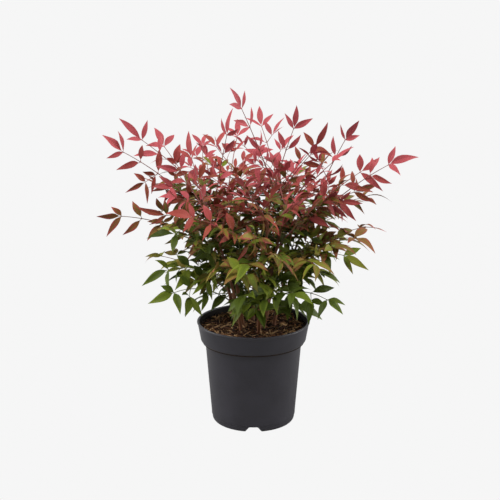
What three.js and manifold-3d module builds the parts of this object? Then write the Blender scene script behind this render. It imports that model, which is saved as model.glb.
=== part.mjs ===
// Heavenly bamboo (nandina): nine leafy canes in a round, filled nursery pot.
// Millimetres, +Z up. The origin is on the table under the pot's centre, and
// the shrub's front faces -Y.

import * as THREE from "three";
import { mergeVertices } from "three/addons/utils/BufferGeometryUtils.js";
import Module from "manifold-3d";

const wasm = await Module();
wasm.setup();
const { Manifold, Mesh } = wasm;

// ---------------------------------------------------------------- sizes

const CLEAR = 0.3; // gap between pieces that meet

// Pot: outer radii from the base up, a deep collar and a thin lip
const POT_HEIGHT = 176;
const RIM_RADIUS = 95;
const COLLAR_RADIUS = 89.4; // bottom of the collar's straight wall
const COLLAR_Z = 147;
const SHOULDER_Z = 140.5; // where the collar has curved in to the body
const BODY_RADIUS = 81.2;
const STEP_RADIUS = 71; // body just above the moulded step
const STEP_Z = 11.5;
const FOOT_RADIUS = 70;
const FOOT_ROUND = 7; // radius of the foot's rounded edge
const WALL = 2.2;
const FLOOR = 12.5; // thickness of the base that the drain channels run in
const FACETS = 36;

// Drain channels: three arches in the foot, one at the front
const CHANNELS = [-90, 30, 150];
const CHANNEL_WIDTH = 30;
const CHANNEL_TOP = 17;
const CHANNEL_HEIGHT = 10.2;
const CHANNEL_INNER = 34; // how near the pot's axis a channel starts

// Soil: flat where the canes stand, a little higher at the wall
const SOIL_Z = 164;
const SOIL_FLAT = 62;
const SOIL_EDGE = 167.5;

// Canes
const CANES = 9;
const INNER = 5; // the first canes stand inside and carry fewer fronds
const INNER_FRONDS = 9;
const OUTER_FRONDS = 10;
const FEET_RADIUS = 44;
const CANE_RISE = 240;
const TIP_IN = 15; // how far out a middle cane's tip is, and how much more an outer one's
const TIP_FAN = 115;
const TIP_DIP = 45; // how much lower the outer tips are
const TIP_STRAY = 12; // chance in a tip's height
const TIP_TURN = 15; // and in its direction, in degrees
const CANE_KNEE = 0.28; // a knee's way out from its cane's foot towards the tip
const FOOT_FLARE = 4.4;
const CANE_FOOT = 3.1; // radii of a cane above its flare and at its tip
const CANE_TIP = 1.3;
const CANE_SIDES = 6;
const CROWN_FRONDS = 5; // top fronds that share one mass with the cane's tip
const LOWEST_NODE = 0.18; // where a cane's first frond grows, along the cane

// Crown's outline: two half ellipsoids about a level
const MID_Z = 405;
const SPREAD = 250;
const RISE = 150;
const DROP = 236;
const POWER = 2.3;

// Fronds. Two values in brackets are the least and the most that chance gives.
const GOLDEN = 137.508; // degrees from one frond to the next round a cane
const PHASE = 40;
const SEED = 10;
const RISE_FROM = 15; // height above the soil where "rise" starts to grow from 0
const RISE_OVER = 215; // to 1
const LOW_ANGLE = 12; // degrees above the level, low and high on a cane
const HIGH_ANGLE = 70;
const FAN_ANGLE = 26; // so much less on the outer canes
const ANGLE_BEND = 1.2;
const ANGLE_STRAY = 12;
const OUTWARD = 0.4; // how far the outer canes' fronds turn outward
const ROUND_STRAY = 14;
const REACHED = [0.55, 0.98]; // share of the way to the crown's outline
const SHORTEST = 45;
const LONGEST = 175;
const LOW_ARCH = 0.2; // height of a rib's knee over the rib's length
const HIGH_ARCH = 0.05;
const START_COST = 0.35; // a long frond starts on the cane that is nearest so
const FROND_GAP = 6; // least distance between two fronds' ribs
const TURN = 8; // degrees from one try to the next for a frond's direction
const TURNS = 17; // most such tries
const RIB_FOOT = 1.9; // radii of a rib, of one on the cane's tip, and at its end
const RIB_FORK = 1.3;
const RIB_TIP = 1.0;
const LONG_RIB = 95; // a longer rib than this is made of three pieces
const STALK = 0.9;
const SEAT = 0.25; // radius where a leaf or a stalk starts, inside its rib
const ROLL = 40; // degrees that a frond may roll to either side

// Leaflets
const LOW_PITCH = 32; // from node to node along a rib, low and high in the crown
const HIGH_PITCH = 40;
const END_GAP = 3; // from a rib's end back to its last pair of leaflets
const NODES = 5; // most nodes on a rib below that pair
const LOW_LEAF = 38; // leaflet lengths, low and high in the crown
const HIGH_LEAF = 34;
const LONG_LEAF = 37; // and on the long fronds
const END_LEAF = 1.18; // how much longer a rib's end leaflet is
const LOW_END_LEAF = 0.95; // and on the long fronds, low and high
const LONG_END_LEAF = 1.42;
const LOW_WIDE = 0.41; // leaflet widths over their lengths, low and high
const HIGH_WIDE = 0.3;
const LOW_DROOP = 0.24; // sag of a leaflet's point over its length, low and high
const HIGH_DROOP = 0.06;
const DROOP_STRAY = 0.08;
const LOW_OUT = 0.7; // how far the low leaves turn away from the pot's axis
const SIZES = [0.92, 1.1]; // chance in a frond's leaflet size
const SPANS = [0.8, 1.12]; // in one leaflet's length
const WIDTHS = [0.82, 1.15]; // and in its width
const STRAY = 0.14; // chance in its direction
const TILT = 0.55; // and in the way that it faces
const TILT_UP = 0.4;
const PAIR_ANGLES = [42, 70]; // degrees between a leaflet and its rib
const PAIR_LIFTS = [-0.1, 0.45];
const STALK_ANGLES = [45, 62]; // and between a stalk and its rib
const STALK_LIFTS = [-0.05, 0.2];
const STALKS = [14, 20]; // length of a stalk at the outer nodes
const STALK_MORE = 10; // and from one node to the next
const SPRAY_END = 0.95; // leaflet sizes in a spray: its end, and its pairs inward
const SPRAY_PAIRS = [0.85, 0.78, 0.72];
const SPRAY_STEPS = [0.6, 1.1]; // the inner pairs' way back, in leaflet sizes
const FIVE_BELOW = 0.8; // rise below which a spray has five leaflets
const SEVEN_BELOW = 0.65; // and seven
const BARE = 0.17; // share of a rib that is bare at its foot
const LEAFLETS = [0.6, 0.2]; // share of leaflets, not sprays, at the outer nodes
const LONG_LEAFLETS = 0.6; // so much more on the long fronds
const FACE = 1.4; // how far the long fronds turn their upper sides to the front
const LIFT = 1.1; // how far the highest leaves point up

// Age: 0 for an old green leaf, 1 for a young red one
const RED_FROM = 236;
const RED_OVER = 225;
const RED_OUT = 0.7; // leaves at the crown's outline are younger
const RED_LEVEL = 0.75;
const RED_STRAY = 0.33;
const SUNNY = 0.18; // and so are the low ones on +X
const SUN_TOP = 440;
const SUN_OVER = 150;

// Solids
const LEAF_THICK = 1.3;
const LEAF_WIDEST = 0.42; // along its length
const LEAF_BROAD = 1.18; // a four-cornered leaf is drawn broader
const SPRAY_LEAF = 1.42; // a leaf that stands for a spray of three
const SPRAYS_FROM = 0.6; // such leaves deep in the crown are left out
const LEAF_AIR = 0.9; // added all round a leaf when its room is tested
const SMOOTH = 0.05; // slivers smaller than this are smoothed away

// Long fronds that reach out of the crown: direction of the rib's end from the
// pot's axis in degrees, its distance from that axis, and its height
const LONG_FRONDS = [
  [-156, 22, 539],
  [-137, 58, 501],
  [0, 66, 505],
  [21, 110, 466],
  [-4, 150, 488],
  [-5, 222, 448],
  [0, 177, 432],
  [9, 172, 392],
  [-14, 171, 330],
  [-22, 160, 305],
  [-32, 143, 234],
  [-172, 220, 364],
  [-147, 167, 380],
  [177, 185, 484],
  [-172, 214, 471],
  [162, 158, 466],
  [-173, 102, 458],
  [-158, 152, 280],
  [-146, 157, 250],
  [-118, 198, 396],
  [-90, 160, 362],
  [-93, 165, 320],
  [-75, 155, 326],
];

// Leaf colours from a shaded old leaf to a young one
const TINTS = [0x3c4a12, 0x637724, 0x74692c, 0x795032, 0xa34c43, 0xcc6265];

// ---------------------------------------------------------------- numbers

const UP = new THREE.Vector3(0, 0, 1);
const rad = (degrees) => (degrees * Math.PI) / 180;
const lerp = (a, b, t) => a + (b - a) * t;
const clamp = (x, low, high) => Math.max(low, Math.min(high, x));
const vec = (x, y, z) => new THREE.Vector3(x, y, z);
const polar = (azimuth, out, z) =>
  vec(out * Math.cos(rad(azimuth)), out * Math.sin(rad(azimuth)), z);
// sum of vectors, each given with its weight
const mix = (...terms) => {
  const sum = vec(0, 0, 0);
  for (let i = 0; i < terms.length; i += 2)
    sum.addScaledVector(terms[i], terms[i + 1]);
  return sum;
};
const unit = (v) => v.clone().normalize();
const cross = (a, b) => vec(0, 0, 0).crossVectors(a, b);

// A seeded stream of even numbers between low and high
const stream = (seed) => {
  let state = seed >>> 0;
  return (low = 0, high = 1) => {
    state = (state + 0x6d2b79f5) >>> 0;
    let t = Math.imul(state ^ (state >>> 15), state | 1);
    t ^= t + Math.imul(t ^ (t >>> 7), t | 61);
    return low + ((high - low) * ((t ^ (t >>> 14)) >>> 0)) / 4294967296;
  };
};

// ---------------------------------------------------------------- curves

// A curve is three points: start, knee and end of a quadratic Bezier
const at = ([a, b, c], t) =>
  mix(a, (1 - t) * (1 - t), b, 2 * t * (1 - t), c, t * t);
const along = ([a, b, c], t) =>
  unit(mix(a, -(1 - t), b, 1 - 2 * t, c, t));
// the stretch of a curve from t0 to t1, again as three points
const stretch = (curve, t0, t1) => {
  const [a, b, c] = curve;
  const knee = mix(a, (1 - t0) * (1 - t1), b, t0 * (1 - t1) + t1 * (1 - t0), c, t0 * t1);
  return [at(curve, t0), knee, at(curve, t1)];
};

// ---------------------------------------------------------------- canes

const fan = (i) => Math.sqrt((i + 0.5) / CANES);

const canes = () => {
  const draw = stream(SEED);
  return Array.from({ length: CANES }, (_, i) => {
    const s = fan(i);
    const azimuth = PHASE + i * GOLDEN;
    const foot = polar(azimuth, FEET_RADIUS * s, SOIL_Z);
    const turn = draw(-TIP_TURN, TIP_TURN);
    const height = SOIL_Z + CANE_RISE - TIP_DIP * s + draw(-TIP_STRAY, TIP_STRAY);
    const tip = polar(azimuth + turn, TIP_IN + TIP_FAN * s, height);
    const knee = mix(foot, 1 - CANE_KNEE, tip, CANE_KNEE);
    knee.z = (foot.z + tip.z) / 2;
    return [foot, knee, tip];
  });
};

const frondsOn = (i) => (i < INNER ? INNER_FRONDS : OUTER_FRONDS);
const nodeAt = (i, j) => lerp(LOWEST_NODE, 1, j / (frondsOn(i) - 1));
const caneEnd = (i) => nodeAt(i, frondsOn(i) - CROWN_FRONDS) - 0.05;
const caneRadius = (t) =>
  lerp(CANE_FOOT, CANE_TIP, t) + (FOOT_FLARE - CANE_FOOT) * Math.max(0, 1 - t / 0.04);

// ---------------------------------------------------------------- fronds

const inCrown = (p) => {
  const h = Math.abs(p.z - MID_Z) / (p.z > MID_Z ? RISE : DROP);
  return (Math.hypot(p.x, p.y) / SPREAD) ** POWER + h ** POWER < 1;
};

// how far it is from a point to the crown's outline
const reach = (start, direction) => {
  if (!inCrown(start)) return 0;
  let near = 0;
  let far = 600;
  for (let i = 0; i < 18; i++) {
    const middle = (near + far) / 2;
    if (inCrown(mix(start, 1, direction, middle))) near = middle;
    else far = middle;
  }
  return near;
};

const samples = (curve, first, count) =>
  Array.from({ length: count + 1 - first }, (_, k) => at(curve, (k + first) / count));

// Every frond's rib: where it leaves its cane and where it ends
const fronds = (stems) => {
  const all = [];
  stems.forEach((cane, i) => {
    const [, , tip] = cane;
    const outward = (Math.atan2(tip.y, tip.x) * 180) / Math.PI;
    for (let j = 0; j < frondsOn(i); j++) {
      const draw = stream(SEED * 1000 + i * 40 + j);
      const t = nodeAt(i, j);
      const start = at(cane, t);
      const rise = clamp((start.z - SOIL_Z - RISE_FROM) / RISE_OVER, 0, 1);
      const elevation = rad(
        lerp(LOW_ANGLE, HIGH_ANGLE - FAN_ANGLE * fan(i), rise ** ANGLE_BEND) + draw(-ANGLE_STRAY, ANGLE_STRAY));
      const round = (((j + 1) * GOLDEN + 180) % 360) - 180;
      const azimuth = outward + round * (1 - OUTWARD * fan(i)) + draw(-ROUND_STRAY, ROUND_STRAY);
      const part = draw(...REACHED);
      const direction = polar(azimuth, Math.cos(elevation), Math.sin(elevation));
      const length = clamp(
        reach(start, direction) * part - lerp(LOW_LEAF, HIGH_LEAF, rise), SHORTEST, LONGEST);
      all.push({
        cane: i, node: j, t, start, rise, long: false,
        end: mix(start, 1, direction, length),
        seed: SEED * 7777 + i * 60 + j,
      });
    }
  });
  for (const target of LONG_FRONDS) {
    const end = polar(...target);
    const cost = (f) => f.end.distanceTo(end) + START_COST * f.start.distanceTo(end);
    const best = all.filter((f) => !f.long).reduce((a, b) => (cost(b) < cost(a) ? b : a));
    best.end = end;
    best.long = true;
  }
  // a frond that would run through a rib or a cane turns about its own cane,
  // and a long one only bows to one side
  const woody = stems.flatMap((cane) => samples(cane, 0, 40));
  const taken = [];
  const order = [...all.filter((f) => f.long), ...all.filter((f) => !f.long)];
  for (const frond of order) {
    let widest = -1;
    let kept;
    for (let k = 0; k < TURNS; k++) {
      const turn = TURN * (k % 2 ? (k + 1) / 2 : -k / 2);
      const way = mix(frond.end, 1, frond.start, -1);
      const length = way.length();
      const bow = frond.long ? mix(unit(cross(way, UP)), (length * turn) / 100) : vec(0, 0, 0);
      if (!frond.long) way.applyAxisAngle(UP, rad(turn));
      const end = mix(frond.start, 1, way, 1);
      const arch = lerp(LOW_ARCH, HIGH_ARCH, frond.rise) * length;
      const knee = mix(frond.start, 0.5, end, 0.5, UP, arch, bow, 1);
      const curve = [frond.start, knee, end];
      const points = samples(curve, 1, 24);
      let gap = Infinity;
      for (const p of points) for (const q of taken) gap = Math.min(gap, p.distanceTo(q));
      for (const p of points.slice(3)) for (const q of woody) gap = Math.min(gap, p.distanceTo(q));
      if (gap > widest) {
        widest = gap;
        kept = { curve, length, points };
      }
      if (gap >= FROND_GAP) break;
    }
    frond.curve = kept.curve;
    frond.length = kept.length;
    taken.push(...kept.points);
  }
  return all;
};

// ---------------------------------------------------------------- leaflets

// 0 in the crown's middle, 1 at its outline
const outness = (p) =>
  Math.hypot(p.x / SPREAD, p.y / SPREAD, (p.z - MID_Z) / (p.z > MID_Z ? RISE : DROP));

const youth = (p, draw) => {
  const height = (p.z - RED_FROM) / RED_OVER;
  const sun = ((SUNNY * p.x) / SPREAD) * clamp((SUN_TOP - p.z) / SUN_OVER, 0, 1);
  return clamp(height + (outness(p) - RED_LEVEL) * RED_OUT + sun + draw(-RED_STRAY, RED_STRAY), 0, 1);
};

// A rib is solid as a few straight pieces between these places along it, and
// its leaves sit on those pieces
const ribPlaces = ({ length }) => (length > LONG_RIB ? [0, 0.33, 0.66, 1] : [0, 0.5, 1]);
const onRib = (frond, t) => {
  const places = ribPlaces(frond);
  const k = Math.max(1, places.findIndex((place) => place >= t));
  const part = (t - places[k - 1]) / (places[k] - places[k - 1]);
  return mix(at(frond.curve, places[k - 1]), 1 - part, at(frond.curve, places[k]), part);
};

// A frond's leaves. Each node of the rib carries a pair of leaflets or of
// stalks. A stalk ends in a spray of three leaflets, and a long one carries two
// or four more. One broad leaf stands for a spray, and its "fine" ones have no
// solids.
const grow = (frond) => {
  const { curve, length, rise } = frond;
  const draw = stream(frond.seed);
  const leaves = [];
  const roll = rad(draw(-ROLL, ROLL));
  const pitch = frond.long ? HIGH_PITCH : lerp(LOW_PITCH, HIGH_PITCH, rise);
  frond.youth = youth(curve[2], draw);
  const size = (frond.long ? LONG_LEAF : lerp(LOW_LEAF, HIGH_LEAF, rise)) * draw(...SIZES);
  const droop = lerp(LOW_DROOP, HIGH_DROOP, rise);
  const out = mix(unit(vec(curve[2].x, curve[2].y, 0)), lerp(LOW_OUT, 0, rise));
  const above = frond.long ? unit(vec(0, -FACE, 1)) : UP;
  const up = LIFT * Math.max(0, rise - 0.5);
  const frame = (t) => {
    const d = along(curve, t);
    const level = unit(cross(d, above));
    const side = mix(level, Math.cos(roll), unit(cross(level, d)), Math.sin(roll));
    return [d, side, unit(cross(side, d))];
  };
  const blade = (kind, t, base, toward, normal, long) => {
    const stray = vec(draw(-STRAY, STRAY), draw(-STRAY, STRAY), draw(-STRAY, STRAY) + up);
    const axis = unit(mix(toward, 1, stray, 1));
    const tilt = vec(draw(-TILT, TILT), draw(-TILT, TILT), draw(-TILT_UP, TILT_UP));
    const across = unit(cross(mix(normal, 1, out, 1, tilt, 1), axis));
    const span = long * draw(...SPANS);
    const wide = Math.min(span, size * 1.1) * lerp(LOW_WIDE, HIGH_WIDE, rise) * draw(...WIDTHS);
    const sag = droop + draw(-DROOP_STRAY, DROOP_STRAY);
    draw(); // the leaf's own age
    leaves.push({ kind, node: onRib(frond, t), base, axis, across, span, wide, sag });
  };
  const pair = (kind, t, base, d, side, normal, long) => {
    for (const s of [-1, 1]) {
      const a = rad(draw(...PAIR_ANGLES));
      const lift = draw(...PAIR_LIFTS);
      blade(kind, t, base, mix(d, Math.cos(a), side, s * Math.sin(a), normal, lift), normal, long);
    }
  };
  let [d, side, normal] = frame(1);
  const longEnd = lerp(LOW_END_LEAF, LONG_END_LEAF, clamp(rise * 1.6, 0, 1));
  blade("end", 1, curve[2], d, normal, size * (frond.long ? longEnd : END_LEAF));
  const gap = END_GAP / length;
  const leaflets = frond.long ? LONG_LEAFLETS * clamp(rise * 2, 0, 1) : 0;
  [d, side, normal] = frame(1 - gap);
  pair("pair", 1 - gap, at(curve, 1 - gap), d, side, normal, size * SPRAY_END);
  for (let k = 1; k <= NODES; k++) {
    const t = 1 - gap - (k * pitch * draw(0.92, 1.08)) / length;
    if (t < BARE) break;
    const node = at(curve, t);
    [d, side, normal] = frame(t);
    for (const s of [-1, 1]) {
      const a = rad(draw(...STALK_ANGLES));
      const lift = draw(...STALK_LIFTS);
      const axis = unit(mix(d, Math.cos(a), side, s * Math.sin(a), normal, lift));
      if (draw() < (LEAFLETS[k - 1] ?? 0) + leaflets) {
        blade("pair", t, mix(node, 1, axis, END_GAP), axis, normal, size);
        continue;
      }
      const end = mix(node, 1, axis, draw(...STALKS) + STALK_MORE * (k - 1));
      const across = unit(cross(axis, normal));
      const back = (n, steps) =>
        pair("fine", t, mix(end, 1, axis, -steps), axis, across, normal, size * SPRAY_PAIRS[n]);
      blade("spray", t, end, axis, normal, size * SPRAY_END);
      back(0, 2);
      if (k >= 2 && rise < FIVE_BELOW) back(1, SPRAY_STEPS[0] * size);
      if (k >= 3 && rise < SEVEN_BELOW) back(2, SPRAY_STEPS[1] * size);
    }
  }
  return leaves;
};

// ---------------------------------------------------------------- solids

const toSolid = (geometry) => {
  const g = geometry.clone();
  g.deleteAttribute("normal");
  g.deleteAttribute("uv");
  const merged = mergeVertices(g, 1e-4);
  const points = merged.attributes.position;
  const faces = Array.from(merged.index.array);
  let volume = 0;
  const [a, b, c] = [vec(), vec(), vec()];
  for (let i = 0; i < faces.length; i += 3) {
    a.fromBufferAttribute(points, faces[i]);
    b.fromBufferAttribute(points, faces[i + 1]);
    c.fromBufferAttribute(points, faces[i + 2]);
    volume += a.dot(b.cross(c));
  }
  if (volume < 0)
    for (let i = 0; i < faces.length; i += 3) [faces[i], faces[i + 1]] = [faces[i + 1], faces[i]];
  return new Manifold(new Mesh({
    numProp: 3,
    vertProperties: new Float32Array(points.array),
    triVerts: new Uint32Array(faces),
  }));
};

const toGeometry = (solid) => {
  const mesh = solid.getMesh();
  const geometry = new THREE.BufferGeometry();
  geometry.setAttribute("position", new THREE.BufferAttribute(new Float32Array(mesh.vertProperties), 3));
  geometry.setIndex(new THREE.BufferAttribute(new Uint32Array(mesh.triVerts), 1));
  geometry.computeVertexNormals();
  return geometry;
};

// a cylinder bent along a curve, with its radius given along it
const limb = (curve, radius, sides, steps) => {
  const geometry = new THREE.CylinderGeometry(1, 1, 1, sides, steps);
  const chord = unit(mix(curve[2], 1, curve[0], -1));
  const reference = Math.abs(chord.z) > 0.85 ? vec(0, 1, 0) : UP;
  const points = geometry.attributes.position;
  for (let i = 0; i < points.count; i++) {
    const t = points.getY(i) + 0.5;
    const d = along(curve, t);
    const side = unit(cross(d, reference));
    const r = radius(t);
    const p = mix(at(curve, t), 1, side, points.getX(i) * r, unit(cross(side, d)), points.getZ(i) * r);
    points.setXYZ(i, p.x, p.y, p.z);
  }
  return toSolid(geometry);
};

// a three-sided cylinder drawn through sections, each a keeled triangle with
// its own width and thickness; the last one may be a point
const drawn = (sections, pointed) => {
  const steps = sections.length - 1;
  const geometry = new THREE.CylinderGeometry(pointed ? 0 : 1, 1, 1, 3, steps);
  const points = geometry.attributes.position;
  for (let i = 0; i < points.count; i++) {
    const row = Math.round((points.getY(i) + 0.5) * steps);
    const grown = pointed ? Math.max(1 - row / steps, 1e-9) : 1;
    const { p, across, normal, half, thick } = sections[row];
    const x = points.getX(i) / grown / Math.cos(rad(30));
    const z = points.getZ(i) / grown;
    const q = mix(p, 1, across, x * half, normal, (-z * thick * 2) / 3);
    points.setXYZ(i, q.x, q.y, q.z);
  }
  return toSolid(geometry);
};

// the section of a round twig, turned as the leaf at its end is
const round = (p, d, across, radius) => {
  const side = unit(mix(across, 1, d, -across.dot(d)));
  return { p, across: side, normal: cross(d, side), half: radius * Math.cos(rad(30)), thick: radius * 1.5 };
};

// a leaf's widest section and its point, sagging with its length
const bladeSections = ({ kind, base, axis, across, span, wide, sag }, air) => {
  const scale = kind === "spray" ? SPRAY_LEAF : 1;
  const long = span * scale + air;
  const normal = unit(cross(axis, across));
  return [
    {
      p: mix(base, 1, axis, long * LEAF_WIDEST, UP, -sag * long * LEAF_WIDEST ** 2),
      across, normal,
      half: (wide * scale * LEAF_BROAD) / 2 + air,
      thick: LEAF_THICK + 2 * air,
    },
    { p: mix(base, 1, axis, long, UP, -sag * long), across, normal, half: 0, thick: 0 },
  ];
};

// a leaf with its stalk, from inside the rib
const leafSolid = (leaf, air = 0) => {
  const way = leaf.kind === "spray" ? unit(mix(leaf.base, 1, leaf.node, -1)) : leaf.axis;
  const start = round(mix(leaf.node, 1, way, air * 3), way, leaf.across, SEAT + air);
  const neck = leaf.kind === "spray" ? [round(leaf.base, way, leaf.across, STALK + air)] : [];
  return drawn([start, ...neck, ...bladeSections(leaf, air)], true);
};

// a frond's rib, which runs on into its end leaf
const ribSolid = (frond, foot, air = 0) => {
  const [leaf] = frond.leaves;
  const sections = ribPlaces(frond).map((t) =>
    round(at(frond.curve, t), along(frond.curve, t), leaf.across, lerp(foot, RIB_TIP, Math.min(1, t * 1.4)) + air));
  return drawn(leaf.kept ? [...sections, ...bladeSections(leaf, 0)] : sections, leaf.kept);
};

// ---------------------------------------------------------------- room

// What is already placed, so that each mass keeps to its own space
const placed = [];
const apart = (a, b) =>
  a.min[0] > b.max[0] || b.min[0] > a.max[0] || a.min[1] > b.max[1] ||
  b.min[1] > a.max[1] || a.min[2] > b.max[2] || b.min[2] > a.max[2];
const take = (solid, owner) => placed.push({ solid, owner, box: solid.boundingBox() });
const free = (solid, owner) => {
  const box = solid.boundingBox();
  return !placed.some(
    (other) =>
      other.owner !== owner && !apart(box, other.box) &&
      !solid.intersect(other.solid).isEmpty());
};

// one closed body: the largest piece, without scraps and with sealed hollows filled
const largest = (solid) => solid.decompose().reduce((a, b) => (b.volume() > a.volume() ? b : a));

// ---------------------------------------------------------------- pot and soil

const turned = (profile) => {
  const geometry = new THREE.LatheGeometry(profile.map(([r, z]) => new THREE.Vector2(r, z)), FACETS);
  geometry.rotateX(Math.PI / 2);
  return toSolid(geometry);
};

const innerWall = [
  [FOOT_RADIUS - WALL - 0.6, FLOOR],
  [BODY_RADIUS - WALL, SHOULDER_Z],
  [COLLAR_RADIUS - WALL, COLLAR_Z + 1],
  [RIM_RADIUS - WALL - 1.4, POT_HEIGHT - 3],
];
const innerRadius = (z) => {
  for (let i = 1; i < innerWall.length; i++) {
    const [[r0, z0], [r1, z1]] = [innerWall[i - 1], innerWall[i]];
    if (z <= z1) return lerp(r0, r1, (z - z0) / (z1 - z0));
  }
  return innerWall.at(-1)[0];
};

const makePot = () => {
  const shell = turned([
    [0, 0],
    [FOOT_RADIUS - FOOT_ROUND, 0],
    [FOOT_RADIUS - 0.29 * FOOT_ROUND, 0.29 * FOOT_ROUND],
    [FOOT_RADIUS, FOOT_ROUND],
    [FOOT_RADIUS + 0.4, STEP_Z],
    [STEP_RADIUS, STEP_Z + 0.8],
    [BODY_RADIUS, SHOULDER_Z],
    [lerp(BODY_RADIUS, COLLAR_RADIUS, 0.55), SHOULDER_Z + 0.7],
    [COLLAR_RADIUS - 1, lerp(SHOULDER_Z, COLLAR_Z, 0.5)],
    [COLLAR_RADIUS, COLLAR_Z],
    [RIM_RADIUS - 1, POT_HEIGHT - 3.4],
    [RIM_RADIUS, POT_HEIGHT - 2.6],
    [RIM_RADIUS, POT_HEIGHT - 0.6],
    [RIM_RADIUS - 0.9, POT_HEIGHT],
    [RIM_RADIUS - WALL - 1, POT_HEIGHT - 0.4],
    ...innerWall.toReversed(),
    [0, FLOOR],
  ]);
  return CHANNELS.reduce((pot, azimuth) => {
    const arch = new THREE.Shape([
      new THREE.Vector2(-CHANNEL_WIDTH / 2, -1),
      new THREE.Vector2(CHANNEL_WIDTH / 2, -1),
      new THREE.Vector2(CHANNEL_TOP / 2 + 2, CHANNEL_HEIGHT - 1.2),
      new THREE.Vector2(CHANNEL_TOP / 2, CHANNEL_HEIGHT),
      new THREE.Vector2(-CHANNEL_TOP / 2, CHANNEL_HEIGHT),
      new THREE.Vector2(-CHANNEL_TOP / 2 - 2, CHANNEL_HEIGHT - 1.2),
    ]);
    const geometry = new THREE.ExtrudeGeometry(arch, { depth: 50, bevelEnabled: false });
    geometry.rotateX(Math.PI / 2); // the arch stands up and runs towards -Y
    geometry.translate(0, -CHANNEL_INNER, 0);
    geometry.rotateZ(rad(azimuth + 90));
    return pot.subtract(toSolid(geometry));
  }, shell);
};

const makeSoil = () => {
  const side = (z) => [innerRadius(z) - CLEAR, z];
  return turned([
    [0, FLOOR + CLEAR],
    side(FLOOR + CLEAR),
    side(SHOULDER_Z),
    side(COLLAR_Z + 1),
    side(SOIL_EDGE),
    [SOIL_FLAT, SOIL_Z],
    [0, SOIL_Z],
  ]);
};

// ---------------------------------------------------------------- plant

const group = new THREE.Group();
const show = (name, solid, colour, roughness) => {
  const material = new THREE.MeshStandardMaterial({ color: colour, roughness, metalness: 0 });
  const mesh = new THREE.Mesh(toGeometry(solid), material);
  mesh.name = name;
  group.add(mesh);
};

const tint = (value) => {
  const place = clamp(value, 0, 0.999) * (TINTS.length - 1);
  const colour = new THREE.Color(TINTS[Math.floor(place)]);
  return colour.lerp(new THREE.Color(TINTS[Math.floor(place) + 1]), place % 1);
};

const pot = makePot();
const soil = makeSoil();
take(pot, "pot");
take(soil, "soil");
show("pot", pot, 0x2f2f33, 0.55);
show("soil", soil, 0x3a2a20, 0.95);

const stems = canes();
const ribs = fronds(stems);
stems.forEach((cane, i) => {
  const end = caneEnd(i);
  const foot = [mix(cane[0], 1, UP, CLEAR), cane[1], cane[2]];
  const solid = limb(stretch(foot, 0, end), (t) => caneRadius(t * end), CANE_SIDES, 6)
    .subtract(toSolid(new THREE.BoxGeometry(60, 60, 20).translate(cane[0].x, cane[0].y, SOIL_Z + CLEAR - 10)));
  take(limb(cane, (t) => caneRadius(t) + 0.8, 4, 8), `cane ${i}`);
  show(`stem_${i + 1}`, solid, 0x6a4030, 0.75);
});

// masses: the cane's leafy tip, and each lower frond by itself
const masses = [];
stems.forEach((cane, i) => {
  const lower = frondsOn(i) - CROWN_FRONDS;
  const own = ribs.filter((f) => f.cane === i);
  masses.push({ name: `crown_${i + 1}`, cane: i, tip: true, fronds: own.filter((f) => f.node >= lower) });
  for (const frond of own.filter((f) => f.node < lower))
    masses.push({ name: `frond_${i + 1}_${frond.node + 1}`, cane: i, tip: false, fronds: [frond] });
});

// ribs first, then each frond's leaves in turn, from its end inward
for (const mass of masses) {
  mass.solids = [];
  for (const frond of mass.fronds) {
    frond.leaves = grow(frond);
    frond.mass = mass;
    take(ribSolid(frond, RIB_FOOT, LEAF_AIR), mass.name);
  }
}
const queue = ribs.flatMap((frond) =>
  frond.leaves.map((leaf, place) => ({ frond, leaf, place })).filter(({ leaf }) =>
    leaf.kind === "end" || leaf.kind === "pair" || (leaf.kind === "spray" && outness(leaf.base) > SPRAYS_FROM)));
queue.sort((a, b) => a.place - b.place || a.frond.seed - b.frond.seed);

// a leaf that meets another mass turns in its own plane, then shrinks, and
// where no try is free it is left out
const TRIES = [[0, 1], [14, 1], [-14, 1], [0, 0.8], [24, 0.85], [-24, 0.85]];
for (const { frond, leaf } of queue) {
  const { mass } = frond;
  const normal = unit(cross(leaf.axis, leaf.across));
  for (const [turn, scale] of TRIES) {
    const one = {
      ...leaf,
      axis: leaf.axis.clone().applyAxisAngle(normal, rad(turn)),
      across: leaf.across.clone().applyAxisAngle(normal, rad(turn)),
      span: leaf.span * scale,
      wide: leaf.wide * scale,
    };
    if (!free(leafSolid(one, LEAF_AIR), mass.name)) continue;
    take(leafSolid(one, LEAF_AIR * 0.3), mass.name);
    Object.assign(leaf, one, { kept: true });
    if (leaf.kind !== "end") mass.solids.push(leafSolid(leaf));
    break;
  }
}

for (const mass of masses) {
  const cane = stems[mass.cane];
  if (mass.tip) {
    const from = caneEnd(mass.cane) + CLEAR / cane[0].distanceTo(cane[2]);
    mass.solids.push(limb(stretch(cane, from, 1), (t) => caneRadius(lerp(from, 1, t)), 5, 3));
    for (const frond of mass.fronds) mass.solids.push(ribSolid(frond, RIB_FORK));
  } else mass.solids.push(ribSolid(mass.fronds[0], RIB_FOOT));
  let solid = Manifold.union(mass.solids);
  if (!mass.tip) {
    // the frond's foot is hollowed to follow its cane
    const { t } = mass.fronds[0];
    const near = stretch(cane, Math.max(0, t - 0.08), t + 0.08);
    solid = solid.subtract(limb(near, () => caneRadius(t) + CLEAR + 0.1, CANE_SIDES, 2));
  }
  solid = largest(solid).simplify(SMOOTH);
  const mean = mass.fronds.reduce((sum, f) => sum + f.youth, 0) / mass.fronds.length;
  show(mass.name, solid, tint(mean), 0.6);
}

export default group;
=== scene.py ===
"""Heavenly bamboo (nandina) in a black nursery pot.

Metres, +Z up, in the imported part's frame: the origin lies under the pot's
centre and the shrub's front faces -Y. The growth rule is worked out in
millimetres, as the part's sizes are, and each mesh is scaled as it is made.
"""

import math

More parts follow.
